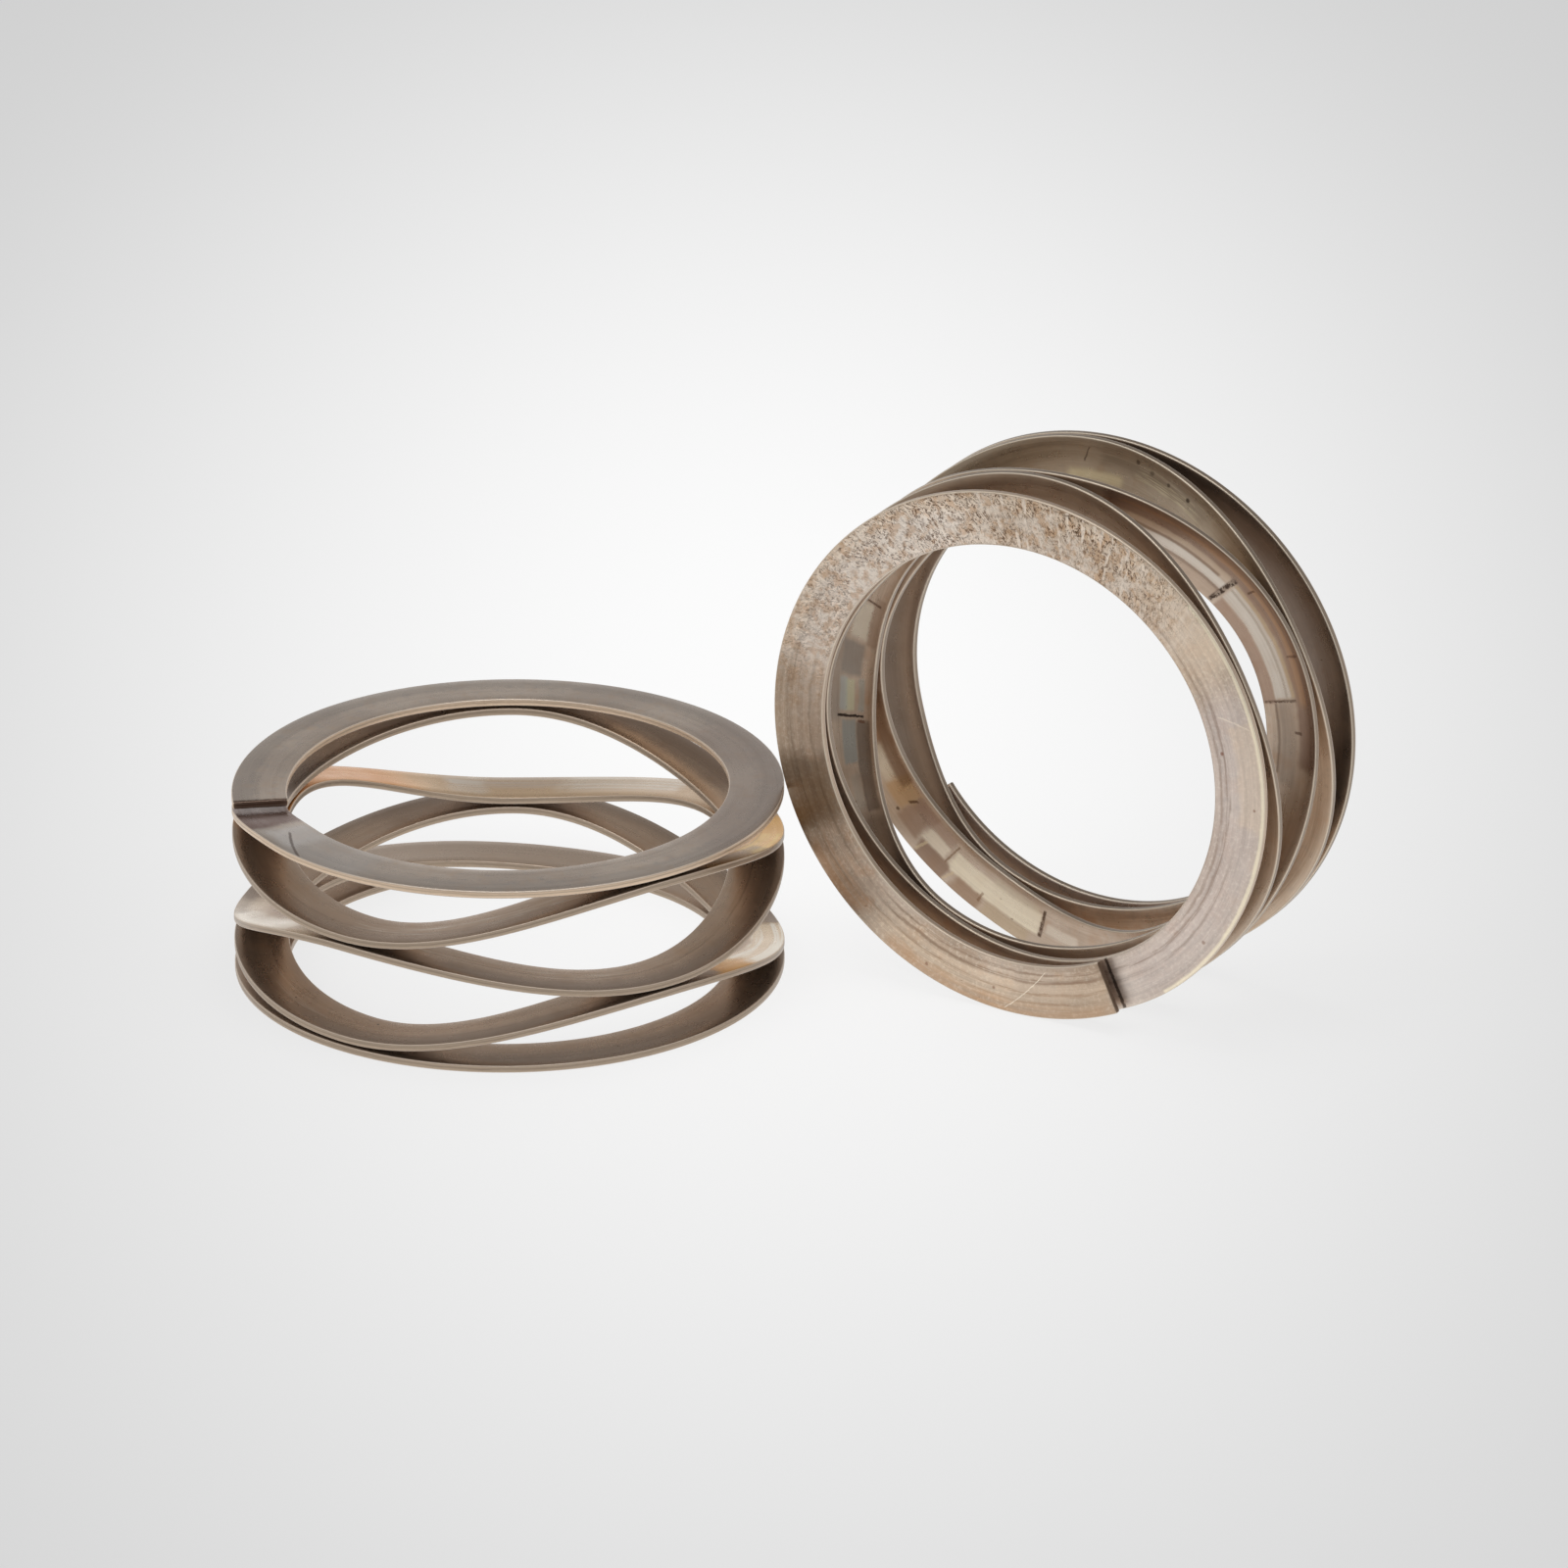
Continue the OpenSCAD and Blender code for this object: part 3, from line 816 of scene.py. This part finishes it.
def tippedMatrix():
    outer, bearing = wire["outerRadius"], math.radians(tippedPlace["bearing"])
    chord = math.sqrt(outer ** 2 - max(outer - freeHeight, 0) ** 2)
    nearY = tippedPlace["behind"] + freeHeight / 2 * math.sin(bearing) - chord * math.cos(bearing)
    nearX = math.sqrt((outer + tippedPlace["sideGap"]) ** 2 - nearY ** 2)
    beside = nearX - freeHeight / 2 * math.cos(bearing) - chord * math.sin(bearing)
    centre = Vector((beside, tippedPlace["behind"], outer)) * millimetre
    toFront = Matrix.Rotation(bearing, 4, "Z") @ Matrix.Rotation(math.radians(90), 4, "Y")
    rolled = math.radians(tippedPlace["turn"] - wireArc)
    turnOver = Matrix.Rotation(rolled, 4, "Z") @ Matrix.Rotation(math.pi, 4, "X")
    return (Matrix.Translation(centre) @ toFront @ turnOver
            @ Matrix.Translation(Vector((0, 0, -freeHeight / 2)) * millimetre))


for name, place, turnedOver, look, node, slot in (
    ("uprightWaveSpring", uprightMatrix(), False, greyCoil, "upright_spring", "tarnished_grey_steel"),
    ("tippedWaveSpring", tippedMatrix(), True, tanCoil, "tipped_spring", "tarnished_tan_steel"),
):
    spring = coilMesh(name, place, turnedOver)
    spring.data.materials.append(springSteel(name + "Steel", look))
    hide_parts(node)
    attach(spring, "root")
    print("spring made:", name, len(spring.data.polygons), "faces")

# pale floor that runs out of the picture, lightest behind the springs; in metres
white = (1, 1, 1)
floorLook = {
    "radius": 4,
    "drop": 0.00001,               # below the springs, so that they don't share a face with it
    "middle": (0.020, 0.054),      # where it is lightest
    "reach": 0.1005,               # how far the light part fades
    "foreshortened": 0.3855,       # keeps the light part round in the picture
    "light": 1.015,
    "dark": 0.62,
    "albedo": "f4f4f4",
    "shadowShare": 0.15,           # how much of the real floor, with its shadows, the camera sees
    "mirrored": (1.0, 0.5),        # what metal sees of it close by and towards the viewer
    "viewerSide": (-0.065, -0.14),     # where one goes over into the other
}


def paleFloor():
    mesh = bmesh.new()
    bmesh.ops.create_circle(mesh, cap_ends=True, segments=96, radius=floorLook["radius"])
    floor = meshObject("paleFloor", mesh)
    floor.location.z = -floorLook["drop"]
    finish = bpy.data.materials.new("paleFloorPaint")
    start = emptyTree(finish)
    spot = start.node("ShaderNodeNewGeometry", output="Position")
    depth = spot.part("Y")
    east = spot.part("X") - floorLook["middle"][0]
    north = (depth - floorLook["middle"][1]) * floorLook["foreshortened"]
    glow = start.node("ShaderNodeMapRange", {"interpolation_type": "SMOOTHSTEP"}, {
        "Value": (east * east + north * north).root(), "From Min": 0.0, "From Max": floorLook["reach"],
        "To Min": floorLook["light"], "To Max": floorLook["dark"],
    })
    seen = start.node("ShaderNodeLightPath", output="Is Camera Ray")
    mirrored = start.node("ShaderNodeLightPath", output="Is Glossy Ray")
    matt = start.node("ShaderNodeBsdfDiffuse", None, {"Color": paint(floorLook["albedo"])})
    painted = start.node("ShaderNodeEmission", None, {"Color": glow.times(white), "Strength": 1.0})
    mirror = depth.between(*floorLook["viewerSide"]).span(*floorLook["mirrored"])
    bright = start.node("ShaderNodeEmission", None, {"Color": mirror.times(white), "Strength": 1.0})
    plain = start.node("ShaderNodeMixShader", None, {0: mirrored, 1: matt, 2: bright})
    paintShare = seen * (1 - floorLook["shadowShare"])
    both = start.node("ShaderNodeMixShader", None, {0: paintShare, 1: plain, 2: painted})
    start.node("ShaderNodeOutputMaterial", None, {"Surface": both})
    floor.data.materials.append(finish)


paleFloor()

# soft studio light: a pale room and three wide lamps; heights and depths are parts of a direction
roomLook = {
    "horizon": 0.9,                # behind the springs, at the height of the floor
    "backWall": 0.46,
    "high": 0.36,
    "top": 0.6,
    "front": 0.5,
    "seen": 0.72,                  # by the camera, past the floor's far edge
    "wallRise": (0.08, 0.36, 0.7), # heights at which it is horizon, backWall and high
    "topRise": (0.75, 0.95),       # heights between which it goes over into top
    "frontTurn": (0.25, -0.25),    # depths between which it goes over into front
}
lamps = (
    {"name": "ceilingLamp", "place": (0.0, -0.05, 0.9), "size": 0.6, "power": 2.4},
    {"name": "leftLamp", "place": (-0.55, -0.4, 0.8), "size": 0.5, "power": 0.7},
    {"name": "rightLamp", "place": (0.6, -0.3, 0.75), "size": 0.5, "power": 0.4},
)


def paleRoom():
    world = bpy.data.worlds.new("paleRoom")
    bpy.context.scene.world = world
    start = emptyTree(world)
    way = start.node("ShaderNodeTexCoord", output="Generated")
    height, depth = way.part("Z"), way.part("Y")
    low, middle, high = roomLook["wallRise"]
    light = height.between(low, middle).span(roomLook["horizon"], roomLook["backWall"])
    light = height.between(middle, high).span(light, roomLook["high"])
    light = depth.between(*roomLook["frontTurn"]).span(light, roomLook["front"])
    light = height.between(*roomLook["topRise"]).span(light, roomLook["top"])
    seen = start.node("ShaderNodeLightPath", output="Is Camera Ray")
    tone = seen.span(light, roomLook["seen"])
    sky = start.node("ShaderNodeBackground", None, {"Color": tone.times(white), "Strength": 1.0})
    start.node("ShaderNodeOutputWorld", None, {"Surface": sky})


def hangLamps():
    for lamp in lamps:
        light = bpy.data.lights.new(lamp["name"], "AREA")
        light.shape, light.size, light.energy = "DISK", lamp["size"], lamp["power"]
        holder = linked(lamp["name"], light)
        holder.location = lamp["place"]
        holder.rotation_euler = (-Vector(lamp["place"])).to_track_quat("-Z", "Y").to_euler()


paleRoom()
hangLamps()
print("floor, room and lamps made")

# camera at the photograph's angle; places are pixels of its 1600 x 1600 frame
view = {
    "elevation": 22.6782,
    "roll": -0.1118,
    "distance": 0.8547,
    "focal": 12015.0,                  # focal length in pixels
    "target": (0, 0, 0.0069),          # a point in the middle of the upright spring
    "targetAt": (519.336, 891.713),    # where it lies in the picture
    "frame": 1600,
    "sensor": 36,
    "clip": (0.05, 20),
}


def photoCamera():
    tilt, roll = math.radians(view["elevation"]), math.radians(view["roll"])
    ahead = Vector((0, math.cos(tilt), -math.sin(tilt)))
    right, up = Vector((1, 0, 0)), Vector((0, math.sin(tilt), math.cos(tilt)))
    right, up = right * math.cos(roll) + up * math.sin(roll), up * math.cos(roll) - right * math.sin(roll)
    scale = view["distance"] / view["focal"]
    across = (view["targetAt"][0] - view["frame"] / 2) * scale
    lift = (view["frame"] / 2 - view["targetAt"][1]) * scale
    data = bpy.data.cameras.new("photoCamera")
    data.sensor_width = view["sensor"]
    data.lens = view["focal"] * data.sensor_width / view["frame"]
    data.clip_start, data.clip_end = view["clip"]
    camera = linked("photoCamera", data)
    turn = Matrix((right, up, -ahead)).transposed().to_4x4()
    place = Vector(view["target"]) - ahead * view["distance"] - right * across - up * lift
    camera.matrix_world = Matrix.Translation(place) @ turn
    bpy.context.scene.camera = camera


photoCamera()
bpy.context.scene.view_settings.view_transform = "Standard"
print("camera set")
